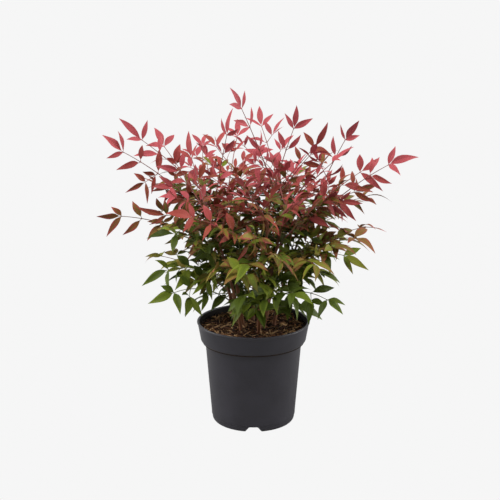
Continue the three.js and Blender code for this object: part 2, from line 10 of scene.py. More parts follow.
import bmesh
import bpy
import numpy as np
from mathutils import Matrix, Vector, noise


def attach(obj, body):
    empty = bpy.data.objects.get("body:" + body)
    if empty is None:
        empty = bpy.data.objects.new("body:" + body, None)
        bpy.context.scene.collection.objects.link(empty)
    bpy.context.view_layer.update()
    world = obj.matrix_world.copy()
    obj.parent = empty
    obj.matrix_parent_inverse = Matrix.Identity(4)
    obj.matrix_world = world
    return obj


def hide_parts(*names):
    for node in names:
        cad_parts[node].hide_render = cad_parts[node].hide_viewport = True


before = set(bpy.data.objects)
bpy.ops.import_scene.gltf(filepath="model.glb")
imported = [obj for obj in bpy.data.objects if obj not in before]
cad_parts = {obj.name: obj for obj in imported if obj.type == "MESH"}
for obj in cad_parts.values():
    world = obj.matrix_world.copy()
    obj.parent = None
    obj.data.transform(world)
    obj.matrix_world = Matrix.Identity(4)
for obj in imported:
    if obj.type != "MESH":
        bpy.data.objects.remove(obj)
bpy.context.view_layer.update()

MM = 0.001
UP = np.array([0.0, 0.0, 1.0])

# ---- growth, in mm
# The same rule and draws as in the part's source. Two values in brackets are
# the least and the most that chance gives.

SOIL_Z = 164

# Canes
CANES, INNER = 9, 5  # the first canes stand inside and carry fewer fronds
INNER_FRONDS, OUTER_FRONDS = 9, 10
CROWN_FRONDS = 5  # top fronds that share one mass with the cane's tip
FEET_RADIUS = 44
CANE_RISE = 240
TIP_IN, TIP_FAN = 15, 115  # out from the axis, and more for the outer tips
TIP_DIP = 45  # how much lower the outer tips are
TIP_STRAY, TIP_TURN = 12, 15  # chance in its height and, in degrees, its direction
CANE_KNEE = 0.28  # a knee's share of the way out to the tip
CANE_FOOT, CANE_TIP, FOOT_FLARE = 3.1, 1.3, 4.4  # radii
FLARED = 0.04  # share of a cane
LOWEST_NODE = 0.18  # where a cane's first frond grows, along the cane

# Crown's outline: two half ellipsoids about a level
MID_Z, SPREAD, RISE, DROP, POWER = 405, 250, 150, 236, 2.3
FARTHEST, HALVINGS = 600, 18  # of the search for that outline

# Fronds
GOLDEN, PHASE, SEED = 137.508, 40, 10
RISE_FROM, RISE_OVER = 15, 215  # height above the soil where "rise" is 0, and from there to 1
LOW_ANGLE, HIGH_ANGLE, FAN_ANGLE = 12, 70, 26  # above the level; less on outer canes
ANGLE_BEND, ANGLE_STRAY = 1.2, 12
OUTWARD, ROUND_STRAY = 0.4, 14  # how far outer canes' fronds turn outward
REACHED = (0.55, 0.98)  # share of the way to the crown's outline
SHORTEST, LONGEST = 45, 175
LOW_ARCH, HIGH_ARCH = 0.2, 0.05  # height of a rib's knee over the rib's length
START_COST = 0.35  # weight of how far a long frond starts from its end
FROND_GAP = 6  # least distance between two fronds' ribs
TURN, TURNS = 8, 17  # degrees between tries for a direction, and most tries
CANE_SAMPLES, RIB_SAMPLES, AT_CANE = 40, 24, 3  # along curves whose distance is measured
ROLL = 40  # degrees that a frond may roll to either side

# Leaflets
LOW_PITCH, HIGH_PITCH = 32, 40  # from node to node, low and high in the crown
PITCHES = (0.92, 1.08)
END_GAP = 3  # from a rib's end back to its last pair of leaflets
NODES = 5  # most nodes on a rib below that pair
BARE = 0.17  # share of a rib that is bare at its foot
LOW_LEAF, HIGH_LEAF, LONG_LEAF = 38, 34, 37  # lengths, also on the long fronds
END_LEAF = 1.18  # how much longer a rib's end leaflet is
LOW_END_LEAF, LONG_END_LEAF, END_RISE = 0.95, 1.42, 1.6  # and on the long fronds, by rise
LOW_WIDE, HIGH_WIDE = 0.41, 0.3  # widths over lengths
LENGTH_LIMIT = 1.1  # of the lengths that widths follow
LOW_DROOP, HIGH_DROOP, DROOP_STRAY = 0.24, 0.06, 0.08  # sag of a leaflet's point
LOW_OUT = 0.7  # how far the low leaves turn away from the pot's axis
SIZES = (0.92, 1.1)  # chance in a frond's leaflet size
SPANS, WIDTHS = (0.8, 1.12), (0.82, 1.15)  # and in one leaflet's length and width
STRAY = 0.14  # chance in its direction
TILT, TILT_UP = 0.55, 0.4  # and in the way that it faces
PAIR_ANGLES, PAIR_LIFTS = (42, 70), (-0.1, 0.45)  # between a leaflet and its rib
STALK_ANGLES, STALK_LIFTS = (45, 62), (-0.05, 0.2)  # and between a stalk and its rib
STALKS, STALK_MORE = (14, 20), 10  # length at the outer node, and more from node to node
OWN_STALK, OWN_STALK_END = 3, 3.5  # of a leaflet that has no spray
SPRAY_END, SPRAY_PAIRS = 0.95, (0.85, 0.78, 0.72)  # leaflet sizes in a spray
PAIR_BACK, SPRAY_STEPS = 2, (0.6, 1.1)  # its pairs' ways back, in mm and in leaflet sizes
FIVE_BELOW, SEVEN_BELOW = 0.8, 0.65  # rise below which a spray has as many leaflets
LEAFLETS = (0.6, 0.2, 0, 0, 0)  # share of leaflets, not sprays, from the outer node in
LONG_LEAFLETS, LEAFLET_RISE = 0.6, 2  # so much more on the long fronds, by rise
FACE = 1.4  # how far the long fronds turn their upper sides to the front
LIFT, LIFT_FROM = 1.1, 0.5  # how far the highest leaves point up

# Age: 0 for an old green leaf, 1 for a young red one
RED_FROM, RED_OVER = 236, 225
RED_OUT, RED_LEVEL = 0.7, 0.75  # leaves at the crown's outline are younger
RED_STRAY = 0.33
SUNNY, SUN_HEIGHTS = 0.18, (440, 290)  # and so are the low ones on +X

# Looks only. A pair of heights is where an effect starts and where it is complete.
LEVEL, LEVEL_RISE = 1.5, (0.35, 0.65)  # how far leaflets lie level, by rise
LEAF_OUT = 0.5  # how much younger a leaf is farther out than its rib's end
MIXED_HEIGHTS = (270, 340)  # below them lie the low green leaves
LOW_CHANCE, HIGH_CHANCE, OLD_CHANCE = 0.15, 0.3, 1.2  # in a leaf's age
HANGING, HANGING_FRONT, HANGING_HEIGHTS = 0.22, 140, (345, 285)  # leaves in front
BRONZE, BRONZED, BRONZE_ASIDE = 0.6, 0.85, (0.5, 0.7)  # an age, and its share at the sides
BRONZE_TOP, BRONZE_FOOT = (440, 400), (290, 330)

# Small leaflets on the inner ribs, finer than the solids have
FILL_FROM, FILL_TO = 9, 0.85  # mm from the rib's foot, and share of the rib
FILL_PITCH, FILL_PITCHES = 12, (0.8, 1.2)
FILL_OUT, FILL_LOW, FILL_HIGH = 0.66, 285, 395  # the outness and heights they keep within
FILL_ANGLES, FILL_LIFT, FILL_TILT = (35, 75), 0.5, 0.8
FILL_SPANS, FILL_WIDTHS, FILL_SAGS = (20, 32), (0.36, 0.46), (0.05, 0.25)

# Long fronds: direction of the rib's end in degrees, distance from the axis, height
LONG_FRONDS = [
    (-156, 22, 539), (-137, 58, 501), (0, 66, 505), (21, 110, 466), (-4, 150, 488),
    (-5, 222, 448), (0, 177, 432), (9, 172, 392), (-14, 171, 330), (-22, 160, 305),
    (-32, 143, 234), (-172, 220, 364), (-147, 167, 380), (177, 185, 484),
    (-172, 214, 471), (162, 158, 466), (-173, 102, 458), (-158, 152, 280),
    (-146, 157, 250), (-118, 198, 396), (-90, 160, 362), (-93, 165, 320),
    (-75, 155, 326),
]


def lerp(a, b, t):
    return a + (b - a) * t


def clamp(x, low=0.0, high=1.0):
    return max(low, min(high, x))


def ease(x, start, end):
    """0 up to the start, 1 from the end on, and even in between."""
    return clamp((x - start) / (end - start))


def unit(v):
    return v / max(math.sqrt(v[0] ** 2 + v[1] ** 2 + v[2] ** 2), 1e-12)


def cross(a, b):
    return np.array([a[1] * b[2] - a[2] * b[1], a[2] * b[0] - a[0] * b[2],
                     a[0] * b[1] - a[1] * b[0]])


def polar(azimuth, out, z):
    a = math.radians(azimuth)
    return np.array([out * math.cos(a), out * math.sin(a), z])


def toward(azimuth, elevation):
    """A direction from its angles in degrees."""
    e = math.radians(elevation)
    return polar(azimuth, math.cos(e), math.sin(e))


def stream(seed):
    """A seeded stream of even numbers, the same one as in the part's source."""
    state = seed & 0xFFFFFFFF

    def draw(low=0.0, high=1.0):
        nonlocal state
        state = (state + 0x6D2B79F5) & 0xFFFFFFFF
        t = ((state ^ (state >> 15)) * (state | 1)) & 0xFFFFFFFF
        t ^= (t + (((t ^ (t >> 7)) * (t | 61)) & 0xFFFFFFFF)) & 0xFFFFFFFF
        return low + (high - low) * ((t ^ (t >> 14)) & 0xFFFFFFFF) / 4294967296

    return draw


def at(curve, t):
    """A point of a quadratic Bezier, which is its start, knee and end."""
    a, b, c = curve
    return (1 - t) ** 2 * a + 2 * t * (1 - t) * b + t * t * c


def along(curve, t):
    a, b, c = curve
    return unit((1 - t) * (b - a) + t * (c - b))


def fan(i):
    """How far out a cane stands, as a share of the farthest."""
    return math.sqrt((i + 0.5) / CANES)


def place_canes():
    draw = stream(SEED)
    canes = []
    for i in range(CANES):
        s, azimuth = fan(i), PHASE + i * GOLDEN
        foot = polar(azimuth, FEET_RADIUS * s, SOIL_Z)
        turn = draw(-TIP_TURN, TIP_TURN)
        tip_z = SOIL_Z + CANE_RISE - TIP_DIP * s + draw(-TIP_STRAY, TIP_STRAY)
        tip = polar(azimuth + turn, TIP_IN + TIP_FAN * s, tip_z)
        knee = (1 - CANE_KNEE) * foot + CANE_KNEE * tip
        knee[2] = (foot[2] + tip[2]) / 2
        canes.append((foot, knee, tip))
    return canes


def fronds_on(i):
    return INNER_FRONDS if i < INNER else OUTER_FRONDS


def node_at(i, j):
    return lerp(LOWEST_NODE, 1, j / (fronds_on(i) - 1))


def cane_radius(t):
    return lerp(CANE_FOOT, CANE_TIP, t) + (FOOT_FLARE - CANE_FOOT) * max(0.0, 1 - t / FLARED)


def height(p):
    """0 at the crown's level, 1 at its top and its bottom."""
    return abs(p[2] - MID_Z) / (RISE if p[2] > MID_Z else DROP)


def outness(p):
    """0 in the crown's middle, 1 at its outline."""
    return math.hypot(p[0] / SPREAD, p[1] / SPREAD, height(p))


def in_crown(p):
    return (math.hypot(p[0], p[1]) / SPREAD) ** POWER + height(p) ** POWER < 1


def reach(start, direction):
    """How far it is from a point to the crown's outline."""
    if not in_crown(start):
        return 0.0
    near, far = 0.0, FARTHEST
    for _ in range(HALVINGS):
        middle = (near + far) / 2
        near, far = (middle, far) if in_crown(start + direction * middle) else (near, middle)
    return near


def start_frond(cane, i, j):
    """A frond as chance aims it, from a node of its cane towards the crown's outline."""
    draw = stream(SEED * 1000 + i * 40 + j)
    t = node_at(i, j)
    start = at(cane, t)
    rise = clamp((start[2] - SOIL_Z - RISE_FROM) / RISE_OVER)
    elevation = lerp(LOW_ANGLE, HIGH_ANGLE - FAN_ANGLE * fan(i), rise ** ANGLE_BEND)
    elevation += draw(-ANGLE_STRAY, ANGLE_STRAY)
    outward = math.degrees(math.atan2(cane[2][1], cane[2][0]))
    aside = ((j + 1) * GOLDEN + 180) % 360 - 180
    azimuth = outward + aside * (1 - OUTWARD * fan(i)) + draw(-ROUND_STRAY, ROUND_STRAY)
    part = draw(*REACHED)
    direction = toward(azimuth, elevation)
    length = clamp(reach(start, direction) * part - lerp(LOW_LEAF, HIGH_LEAF, rise),
                   SHORTEST, LONGEST)
    return dict(cane=i, node=j, t=t, start=start, rise=rise, long=False,
                end=start + direction * length, seed=SEED * 7777 + i * 60 + j)


def bent(frond, turn):
    """A frond's curve and length, turned about its cane, or bowed aside if it is a long one."""
    way = frond["end"] - frond["start"]
    length = np.linalg.norm(way)
    bow = np.zeros(3)
    if frond["long"]:
        bow = unit(cross(way, UP)) * length * turn / 100
    else:
        c, s = math.cos(math.radians(turn)), math.sin(math.radians(turn))
        way = np.array([way[0] * c - way[1] * s, way[0] * s + way[1] * c, way[2]])
    end = frond["start"] + way
    arch = UP * lerp(LOW_ARCH, HIGH_ARCH, frond["rise"]) * length
    return (frond["start"], (frond["start"] + end) / 2 + arch + bow, end), length


def distance(some, others):
    return np.sqrt(((some[:, None] - others[None]) ** 2).sum(2)).min()


def place_fronds(canes):
    """Each frond's rib: where it leaves its cane, where it ends and its curve between."""
    every = [start_frond(cane, i, j) for i, cane in enumerate(canes) for j in range(fronds_on(i))]
    for target in LONG_FRONDS:
        end = polar(*target)
        best = min((f for f in every if not f["long"]), key=lambda f: (
            np.linalg.norm(f["end"] - end) + START_COST * np.linalg.norm(f["start"] - end)))
        best["end"], best["long"] = end, True
    woody = np.array([at(cane, k / CANE_SAMPLES) for cane in canes
                      for k in range(CANE_SAMPLES + 1)])
    taken = np.array([[1e6, 1e6, 1e6]])  # nothing near yet
    for frond in sorted(every, key=lambda f: not f["long"]):
        widest = -1
        for k in range(TURNS):
            curve, length = bent(frond, TURN * ((k + 1) / 2 if k % 2 else -k / 2))
            points = np.array([at(curve, m / RIB_SAMPLES) for m in range(1, RIB_SAMPLES + 1)])
            gap = min(distance(points, taken), distance(points[AT_CANE:], woody))
            if gap > widest:
                widest, kept = gap, (curve, length, points)
            if gap >= FROND_GAP:
                break
        frond["curve"], frond["length"] = kept[:2]
        taken = np.vstack([taken, kept[2]])
    return every


def youth(p, draw):
    """About 0 for an old green leaf and 1 for a young red one, by its place."""
    sun = SUNNY * p[0] / SPREAD * ease(p[2], *SUN_HEIGHTS)
    age = (p[2] - RED_FROM) / RED_OVER + (outness(p) - RED_LEVEL) * RED_OUT
    return age + sun + draw(-RED_STRAY, RED_STRAY)


def hanging(p):
    """How much older a leaf is that hangs forward, below the red top."""
    return HANGING * clamp(-p[1] / HANGING_FRONT) * ease(p[2], *HANGING_HEIGHTS)


def mid_height(p):
    """0 among the low green leaves, 1 from where red ones mix in."""
    return ease(p[2], *MIXED_HEIGHTS)


def bronzed(p, age):
    """A leaf's age, nearer to bronze where it hangs out at a side below the red top."""
    aside = ease(abs(p[0]) / SPREAD, *BRONZE_ASIDE)
    aside *= ease(p[2], *BRONZE_TOP) * ease(p[2], *BRONZE_FOOT)
    return lerp(clamp(age), BRONZE, BRONZED * aside)


def grow(frond):
    """A frond's leaflets and stalks. Each node of the rib carries a pair of leaflets or of
    stalks, and a stalk ends in a spray of three, with two or four more below them."""
    curve, length, rise = frond["curve"], frond["length"], frond["rise"]
    draw = stream(frond["seed"])
    leaves, stalks, joints = [], [], []
    roll = math.radians(draw(-ROLL, ROLL))
    pitch = HIGH_PITCH if frond["long"] else lerp(LOW_PITCH, HIGH_PITCH, rise)
    age = youth(curve[2], draw)
    size = (LONG_LEAF if frond["long"] else lerp(LOW_LEAF, HIGH_LEAF, rise)) * draw(*SIZES)
    droop = lerp(LOW_DROOP, HIGH_DROOP, rise)
    out = unit(np.array([curve[2][0], curve[2][1], 0.0])) * lerp(LOW_OUT, 0, rise)
    above = unit(UP + np.array([0.0, -FACE, 0.0])) if frond["long"] else UP
    lift_up = LIFT * max(0.0, rise - LIFT_FROM)

    def frame_at(t):
        d = along(curve, t)
        level = unit(cross(d, above))
        side = level * math.cos(roll) + unit(cross(level, d)) * math.sin(roll)
        return d, side, unit(cross(side, d))

    def leaf_age(base):
        own = draw(-1, 1) * lerp(LOW_CHANCE, HIGH_CHANCE, mid_height(base))
        outer = (outness(base) - outness(curve[2])) * LEAF_OUT
        return bronzed(base, age + outer - hanging(base) + own * (OLD_CHANCE - clamp(age)))

    def blade(base, toward, normal, long):
        stray = [draw(-STRAY, STRAY), draw(-STRAY, STRAY), draw(-STRAY, STRAY) + lift_up]
        axis = unit(toward + np.array(stray))
        tilt = np.array([draw(-TILT, TILT), draw(-TILT, TILT), draw(-TILT_UP, TILT_UP)])
        across = unit(cross(normal + out + tilt, axis))
        if not frond["long"]:
            level = cross(UP, axis) * LEVEL * ease(rise, *LEVEL_RISE)
            across = unit(across + (level if across @ level > 0 else -level))
        span = long * draw(*SPANS)
        wide = min(span, size * LENGTH_LIMIT) * lerp(LOW_WIDE, HIGH_WIDE, rise) * draw(*WIDTHS)
        leaves.append(dict(base=base, axis=axis, across=across, span=span, wide=wide, rise=rise,
                           sag=droop + draw(-DROOP_STRAY, DROOP_STRAY), age=leaf_age(base)))

    def branch(d, side, s, normal, angles, lifts):
        """The direction of a leaflet or stalk that leaves d on one side."""
        a = math.radians(draw(*angles))
        return d * math.cos(a) + side * s * math.sin(a) + normal * draw(*lifts)

    def pair(base, d, side, normal, long):
        for s in (-1, 1):
            blade(base, branch(d, side, s, normal, PAIR_ANGLES, PAIR_LIFTS), normal, long)

    d, side, normal = frame_at(1)
    end_leaf = END_LEAF
    if frond["long"]:
        end_leaf = lerp(LOW_END_LEAF, LONG_END_LEAF, clamp(rise * END_RISE))
    blade(curve[2], d, normal, size * end_leaf)
    gap = END_GAP / length
    d, side, normal = frame_at(1 - gap)
    pair(at(curve, 1 - gap), d, side, normal, size * SPRAY_END)
    joints.append(1 - gap)
    more_leaflets = LONG_LEAFLETS * clamp(rise * LEAFLET_RISE) if frond["long"] else 0
    for k in range(1, NODES + 1):
        t = 1 - gap - k * pitch * draw(*PITCHES) / length
        if t < BARE:
            break
        node = at(curve, t)
        joints.append(t)
        d, side, normal = frame_at(t)
        for s in (-1, 1):
            axis = unit(branch(d, side, s, normal, STALK_ANGLES, STALK_LIFTS))
            if draw() < LEAFLETS[k - 1] + more_leaflets:
                blade(node + axis * OWN_STALK, axis, normal, size)
                stalks.append((node, node + axis * OWN_STALK_END))
                continue
            end = node + axis * (draw(*STALKS) + STALK_MORE * (k - 1))
            across = unit(cross(axis, normal))
            stalks.append((node, end))
            blade(end, axis, normal, size * SPRAY_END)
            backs = [PAIR_BACK]
            if k >= 2 and rise < FIVE_BELOW:
                backs.append(SPRAY_STEPS[0] * size)
            if k >= 3 and rise < SEVEN_BELOW:
                backs.append(SPRAY_STEPS[1] * size)
            for back, share in zip(backs, SPRAY_PAIRS):
                pair(end - axis * back, axis, across, normal, size * share)
    frond.update(age=clamp(age), leaves=leaves, stalks=stalks, joints=joints)


def fill(frond):
    """Small leaflets low on a rib, which show only between others and take the painted shade of
    the crown's inside.
    """
    curve, length = frond["curve"], frond["length"]
    draw = stream(frond["seed"] + 1)
    t = FILL_FROM / length
    while t < FILL_TO:
        node = at(curve, t)
        if outness(node) < FILL_OUT and FILL_LOW < node[2] < FILL_HIGH:
            d = along(curve, t)
            level = unit(cross(d, UP))
            for s in (-1, 1):
                a = math.radians(draw(*FILL_ANGLES))
                lift = UP * draw(-FILL_LIFT, FILL_LIFT)
                axis = unit(d * math.cos(a) + level * s * math.sin(a) + lift)
                tilt = [draw(-FILL_TILT, FILL_TILT), draw(-FILL_TILT, FILL_TILT), 0.0]
                span = draw(*FILL_SPANS)
                frond["leaves"].append(dict(
                    base=node, axis=axis, across=unit(cross(UP + np.array(tilt), axis)),
                    span=span, wide=span * draw(*FILL_WIDTHS), sag=draw(*FILL_SAGS),
                    rise=frond["rise"], age=clamp(youth(node, draw))))
        t += FILL_PITCH * draw(*FILL_PITCHES) / length


# ---- materials


def linear(code):
    """A linear colour from a web colour."""
    values = [int(code[k:k + 2], 16) / 255 for k in (0, 2, 4)]
    return tuple(v / 12.92 if v <= 0.04045 else ((v + 0.055) / 1.055) ** 2.4 for v in values)


class Paint:
    """A Principled material with short calls for its nodes."""

    def __init__(self, name, colour, roughness, specular):
        self.material = bpy.data.materials.new(name)
        self.material.use_nodes = True
        self.tree = self.material.node_tree
        self.bsdf = self.tree.nodes["Principled BSDF"]
        self.colour((*colour, 1))
        self.roughness(roughness)
        self.set(self.bsdf, "Specular IOR Level", specular)

    def set(self, node, socket, value):
        if isinstance(value, bpy.types.NodeSocket):
            self.tree.links.new(value, node.inputs[socket])
        else:
            node.inputs[socket].default_value = value

    def colour(self, value):
        self.set(self.bsdf, "Base Color", value)

    def roughness(self, value):
        self.set(self.bsdf, "Roughness", value)

    def node(self, kind, output, inputs, **settings):
        node = self.tree.nodes.new(kind)
        for key, value in settings.items():
            setattr(node, key, value)
        for key, value in inputs.items():
            self.set(node, key, value)
        return node.outputs[output]

    def math(self, operation, *values):
        return self.node("ShaderNodeMath", 0, dict(enumerate(values)), operation=operation)

    def speckle(self, scale, detail, stretch=(1, 1, 1)):
        point = self.node("ShaderNodeTexCoord", "Object", {})
        place = self.node("ShaderNodeMapping", 0, {"Vector": point, "Scale": stretch})
        return self.node("ShaderNodeTexNoise", 0, {
            "Vector": place, "Scale": scale, "Detail": detail, "Roughness": 0.55})

    def spread(self, value, low, high):
        """The value's middle part, spread from low to high."""
        return self.node("ShaderNodeMapRange", "Result", {
            "Value": value, "From Min": 0.3, "From Max": 0.7, "To Min": low, "To Max": high})

    def ramp(self, value, *stops):
        node = self.tree.nodes.new("ShaderNodeValToRGB")
        self.set(node, "Fac", value)
        for element, (position, code) in zip(node.color_ramp.elements, stops):
            element.position = position
            element.color = (*linear(code), 1)
        return node.outputs["Color"]

    def bump(self, height, strength, distance):
        inputs = {"Strength": strength, "Distance": distance, "Height": height}
        previous = self.bsdf.inputs["Normal"]
        if previous.is_linked:
            inputs["Normal"] = previous.links[0].from_socket
        self.set(self.bsdf, "Normal", self.node("ShaderNodeBump", "Normal", inputs))


def pot_paint():
    paint = Paint("pot_plastic", linear("28262d"), 0.42, 0.45)
    cloud = paint.speckle(26, 4)
    paint.colour(paint.ramp(cloud, (0.3, "222026"), (0.7, "28262d")))
    paint.roughness(paint.spread(cloud, 0.38, 0.5))
    paint.bump(paint.speckle(420, 2), strength=0.12, distance=0.0004)
    paint.bump(paint.speckle(30, 2, (1, 1, 0.08)), strength=0.1, distance=0.0006)
    return paint.material


def soil_paint(name, dark, light, grain, relief):
    paint = Paint(name, linear(dark), 0.95, 0.25)
    speckle = paint.speckle(grain, 4)
    paint.colour(paint.ramp(speckle, (0.35, dark), (0.68, light)))
    paint.bump(speckle, strength=0.6, distance=relief)
    return paint.material


def bark_paint(name, dark, light):
    paint = Paint(name, linear(dark), 0.7, 0.35)
    streak = paint.speckle(300, 4, (1, 1, 0.16))
    paint.colour(paint.ramp(paint.speckle(70, 2, (1, 1, 0.5)), (0.3, dark), (0.72, light)))
    paint.roughness(paint.spread(streak, 0.55, 0.85))
    paint.bump(streak, strength=0.5, distance=0.0007)
    return paint.material


def twig_paint(name, code):
    paint = Paint(name, linear(code), 0.5, 0.4)
    paint.roughness(paint.spread(paint.speckle(240, 2), 0.4, 0.62))
    paint.bump(paint.speckle(700, 2, (1, 1, 0.3)), strength=0.2, distance=0.0002)
    return paint.material


VEIN_LAG, VEINS = -0.16, 62  # how far side veins run back, and how close they are


def leaf_paint(name, colour):
    """A leaf's plain colour. Side veins and small dents only raise its surface."""
    paint = Paint(name, colour, 0.48, 0.14)
    split = paint.tree.nodes.new("ShaderNodeSeparateXYZ")
    paint.set(split, "Vector", paint.node("ShaderNodeTexCoord", "UV", {}))
    aside = paint.math("ABSOLUTE", split.outputs["Y"])
    lag = paint.math("MULTIPLY_ADD", aside, VEIN_LAG, split.outputs["X"])
    paint.bump(paint.math("SINE", paint.math("MULTIPLY", lag, VEINS)),
               strength=0.12, distance=0.0003)
    dents = paint.speckle(150, 2)
    paint.bump(dents, strength=0.2, distance=0.0006)
    paint.roughness(paint.spread(dents, 0.4, 0.6))
    return paint.material


# ---- meshes


def put(name, data):
    thing = bpy.data.objects.new(name, data)
    bpy.context.scene.collection.objects.link(thing)
    return thing


def piece(name, mesh, replaced):
    thing = put(name, mesh)
    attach(thing, "root")
    if replaced:
        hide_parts(*replaced)
    return thing


class Heap:
    """Vertices, faces, UVs and paints of one piece that is joined from many small things."""

    def __init__(self, name, paints):
        self.name, self.paints = name, paints
        self.points, self.faces, self.kinds, self.uvs, self.count = [], [], [], [], 0

    def add(self, points, faces, kind=0, uvs=None):
        """points in mm; kind is one paint's place, or one for each face."""
        self.points.append(np.asarray(points, float) * MM)
        self.faces += [tuple(int(k) + self.count for k in face) for face in faces]
        self.kinds += [kind] * len(faces) if np.isscalar(kind) else list(kind)
        self.uvs.append(np.zeros((len(points), 2)) if uvs is None else uvs)
        self.count += len(points)

    def make(self, slot, replaced, smooth=True):
        mesh = bpy.data.meshes.new(self.name)
        mesh.from_pydata(np.vstack(self.points).tolist(), [], self.faces)
        for paint in self.paints:
            mesh.materials.append(paint)
        mesh.polygons.foreach_set("material_index", self.kinds)
        mesh.polygons.foreach_set("use_smooth", [smooth] * len(self.faces))
        corner = np.empty(len(mesh.loops), np.int32)
        mesh.loops.foreach_get("vertex_index", corner)
        layer = mesh.uv_layers.new(name="UVMap")
        layer.uv.foreach_set("vector", np.vstack(self.uvs)[corner].astype(np.float32).ravel())
        mesh.validate()
        piece(self.name, mesh, replaced)


def rings(count, sides, closed_ends=True):
    """Faces of a tube with that many rings."""
    faces = []
    for r in range(count - 1):
        for s in range(sides):
            a, b = r * sides + s, r * sides + (s + 1) % sides
            faces.append((a, b, b + sides, a + sides))
    if closed_ends:
        faces.append(tuple(range(sides - 1, -1, -1)))
        faces.append(tuple(range((count - 1) * sides, count * sides)))
    return faces


def capped(count, sides):
    """Faces of a tube whose ends close on two middle points, which come after its rings."""
    faces = rings(count, sides, closed_ends=False)
    first, top = count * sides, (count - 1) * sides
    for s in range(sides):
        after = (s + 1) % sides
        faces += [(first, after, s), (first + 1, top + s, top + after)]
    return faces


def circle(sides):
    return [2 * math.pi * s / sides for s in range(sides)]


def tube(points, radii, sides, relief=None):
    """A round tube along points, its section carried along without twisting."""
    points = np.asarray(points, float)
    ways = np.gradient(points, axis=0)
    ways /= np.linalg.norm(ways, axis=1)[:, None]
    side = unit(cross(ways[0], UP if abs(ways[0][2]) < 0.9 else np.array([0.0, 1.0, 0.0])))
    angles = np.array(circle(sides))
    out = np.empty((len(points), sides, 3))
    for k, (p, d) in enumerate(zip(points, ways)):
        side = unit(side - d * (side @ d))
        other = cross(d, side)
        r = radii[k] * (1 if relief is None else relief[k])
        out[k] = p + (np.cos(angles) * r)[:, None] * side + (np.sin(angles) * r)[:, None] * other
    return out.reshape(-1, 3), rings(len(points), sides)


# ---- pot

POT_HEIGHT = 176
RIM, COLLAR, BODY, STEP, FOOT = 95, 89.4, 81.2, 71, 70  # outer radii
COLLAR_Z, SHOULDER_Z, STEP_Z, FLOOR_Z = 147, 140.5, 11.5, 12.5
WALL = 2.2
FOOT_ROUND = 7
STEP_ROUND, SHOULDER_RISE = 0.5, 6.2
LIP_OUTER, LIP_INNER = 1.5, 1.4  # radii that round the lip's two edges
CHANNELS = (-90, 30, 150)
ARCH_FOOT, ARCH_TOP, ARCH_HEIGHT = 30, 15, 10.2
ARCH_ROUND = 4.6
ARCH_INNER, ARCH_OUTER = 34, FOOT + 20  # the stretch that a channel's cutter takes
POT_SIDES = 240
SHARP = 38  # degrees between two faces whose edge stays sharp


def arc(centre, radius, first, last, steps):
    """Points of an arc, from one angle to the other in degrees."""
    angles = np.radians(np.linspace(first, last, steps))
    return [(centre[0] + radius * math.cos(a), centre[1] + radius * math.sin(a)) for a in angles]


def inner_radius(z):
    return float(np.interp(z, (FLOOR_Z, SHOULDER_Z, COLLAR_Z + 1, POT_HEIGHT - 3),
                           (FOOT - WALL - 0.6, BODY - WALL, COLLAR - WALL, RIM - WALL - 1.4)))


def pot_profile():
    """The wall's section as (radius, height), from the base's middle up and down inside."""
    base = [(0, 0), (FOOT - FOOT_ROUND, 0),
            *arc((FOOT - FOOT_ROUND, FOOT_ROUND), FOOT_ROUND, -80, -6, 9),
            (FOOT + 0.1, 8.5), (FOOT + 0.35, STEP_Z - 0.5),
            *arc((STEP - 0.3, STEP_Z + STEP_ROUND), STEP_ROUND, -80, 0, 4), (STEP + 0.35, 16)]
    body = [(lerp(STEP, BODY, t), lerp(STEP_Z, SHOULDER_Z - 2.5, t))
            for t in np.linspace(0.08, 1, 12)]
    crease = [(BODY + 0.35, SHOULDER_Z - 0.9), (BODY + 1.2, SHOULDER_Z - 0.4)]
    swell = (COLLAR - BODY) / 2
    shoulder = [(BODY + swell * (0.4 + 1.6 * math.sin(a)),
                 SHOULDER_Z + 0.4 + SHOULDER_RISE * (1 - math.cos(a)))
                for a in np.radians(np.linspace(10, 90, 9))]
    collar = [(lerp(COLLAR, RIM - 1, t), lerp(COLLAR_Z + 0.4, POT_HEIGHT - 3.6, t))
              for t in np.linspace(0.06, 1, 6)]
    lip = arc((RIM - 1.25, POT_HEIGHT - LIP_OUTER), LIP_OUTER, -40, 90, 8)
    lip += arc((RIM - WALL, POT_HEIGHT - LIP_INNER), LIP_INNER, 100, 190, 6)
    heights = [*np.linspace(POT_HEIGHT - 4, COLLAR_Z + 1, 5), SHOULDER_Z, 90, FLOOR_Z + 4]
    inside = [(inner_radius(z), z) for z in heights]
    floor = [(inner_radius(FLOOR_Z) - 3, FLOOR_Z), (0, FLOOR_Z)]
    return base + body + crease + shoulder + collar + lip + inside + floor


def revolve(profile, sides):
    """A closed surface of revolution whose profile starts and ends on the axis."""
    middle = profile[1:-1]
    points = [(r * math.cos(a), r * math.sin(a), z) for r, z in middle for a in circle(sides)]
    points += [(0, 0, profile[0][1]), (0, 0, profile[-1][1])]
    return points, capped(len(middle), sides)


def arch_cutter(azimuth):
    """A drain channel: an arch with rounded corners that runs in from the foot."""
    half, top = ARCH_FOOT / 2, ARCH_TOP / 2
    lean = math.atan2(ARCH_HEIGHT, half - top)
    shift, lean = ARCH_ROUND * math.tan(lean / 2), math.degrees(lean)
    side = [(half + shift + 1, -1)]
    side += arc((half + shift, ARCH_ROUND), ARCH_ROUND, -90, -90 - lean, 7)
    side += arc((top - shift, ARCH_HEIGHT - ARCH_ROUND), ARCH_ROUND, 90 - lean, 90, 7)
    outline = side + [(-x, z) for x, z in reversed(side)]
    inward = polar(azimuth, 1, 0)
    across = cross(UP, inward)
    points = [inward * out + across * x + UP * z
              for out in (ARCH_INNER, ARCH_OUTER) for x, z in outline]
    return points, rings(2, len(outline))


